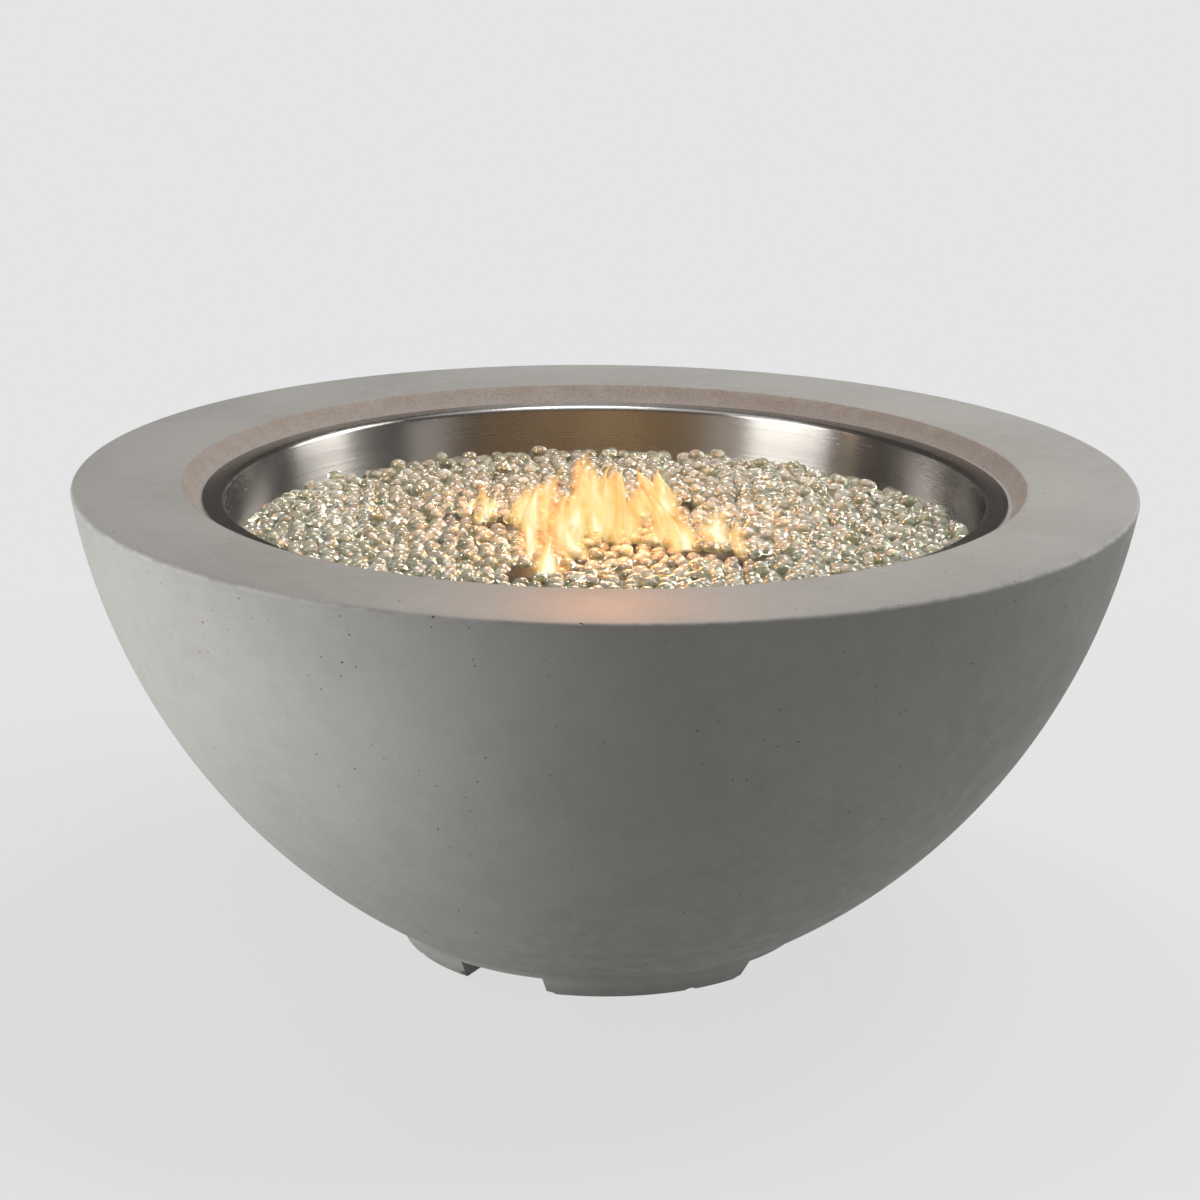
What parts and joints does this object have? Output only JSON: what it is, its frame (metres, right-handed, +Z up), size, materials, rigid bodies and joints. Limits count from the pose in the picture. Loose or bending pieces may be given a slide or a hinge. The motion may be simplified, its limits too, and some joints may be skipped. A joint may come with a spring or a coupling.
{
  "type": "gas fire pit bowl",
  "caption": "Round cast concrete fire bowl with a wide flat rim, cast feet, a drop-in steel pan of glass gems over a cross gas burner, and a recessed panel with a push-turn knob and igniter.",
  "frame": {"origin": "on the floor, under the middle of the bowl", "axes": "+Z up, +Y out of the control panel, +X along the wider channel between the feet"},
  "size_m": [1.0654, 1.0654, 0.48],
  "materials": {
    "concrete": "matte",
    "pan_steel": "satin",
    "clear_glass": "polished",
    "burner_steel": "satin",
    "brass_fittings": "satin",
    "mixer_iron": "matte",
    "plain_steel": "satin",
    "white_ceramic": "gloss",
    "copper": "satin",
    "lead_silicone": "matte",
    "panel_steel": "satin",
    "dial_black": "satin",
    "knob_black": "satin",
    "button_red": "gloss",
    "battery_case": "gloss"
  },
  "bodies": {
    "bowl": {"concrete_bowl": "concrete", "burner_pan": "pan_steel", "fire_glass": "clear_glass", "cross_burner": "burner_steel", "burner_legs": "burner_steel", "burner_nipple": "brass_fittings", "pan_locknuts": "brass_fittings", "air_mixer": "mixer_iron", "gas_orifice": "brass_fittings", "probe_plates": "plain_steel", "electrode_insulator": "white_ceramic", "electrode_rod": "plain_steel", "thermocouple": "copper", "igniter_lead": "lead_silicone", "thermocouple_lead": "copper", "control_panel": "panel_steel", "panel_inserts": "brass_fittings", "panel_screws": "plain_steel", "dial_ring": "dial_black", "valve_body": "brass_fittings", "valve_cap": "brass_fittings", "valve_screws": "plain_steel", "magnet_unit": "plain_steel", "valve_spring": "plain_steel", "valve_nut": "brass_fittings", "igniter_housing": "knob_black", "igniter_end_cap": "knob_black", "button_spring": "plain_steel", "igniter_battery": "battery_case", "igniter_nut": "knob_black", "inlet_pipe": "copper", "burner_pipe": "copper", "flare_nuts": "brass_fittings", "inlet_fitting": "brass_fittings", "inlet_locknut": "brass_fittings", "inlet_bracket": "plain_steel", "bracket_screws": "plain_steel"},
    "collar": {"stem_collar": "brass_fittings"},
    "knob": {"control_knob": "knob_black", "valve_stem": "plain_steel"},
    "button": {"igniter_button": "button_red"},
    "shutter": {"air_shutter": "plain_steel", "shutter_screw": "brass_fittings"}
  },
  "joints": [
    {"name": "knob_push", "type": "slide", "parent": "bowl", "child": "collar", "axis": [0, -1, 0], "range_m": [0, 0.003], "stiffness_N_per_m": 1500, "springref_m": -0.004, "deforming": ["valve_spring"]},
    {"name": "knob_turn", "type": "hinge", "parent": "collar", "child": "knob", "pos_m": [-0.032, 0.4575, 0.33], "axis": [0, 1, 0], "range_deg": [0, 180]},
    {"name": "igniter_push", "type": "slide", "parent": "bowl", "child": "button", "axis": [0, -1, 0], "range_m": [0, 0.004], "stiffness_N_per_m": 900, "springref_m": -0.003, "deforming": ["button_spring"]},
    {"name": "air_shutter_turn", "type": "hinge", "parent": "bowl", "child": "shutter", "pos_m": [0, 0, 0.2955], "axis": [0, 0, 1], "range_deg": [0, 45]}
  ]
}
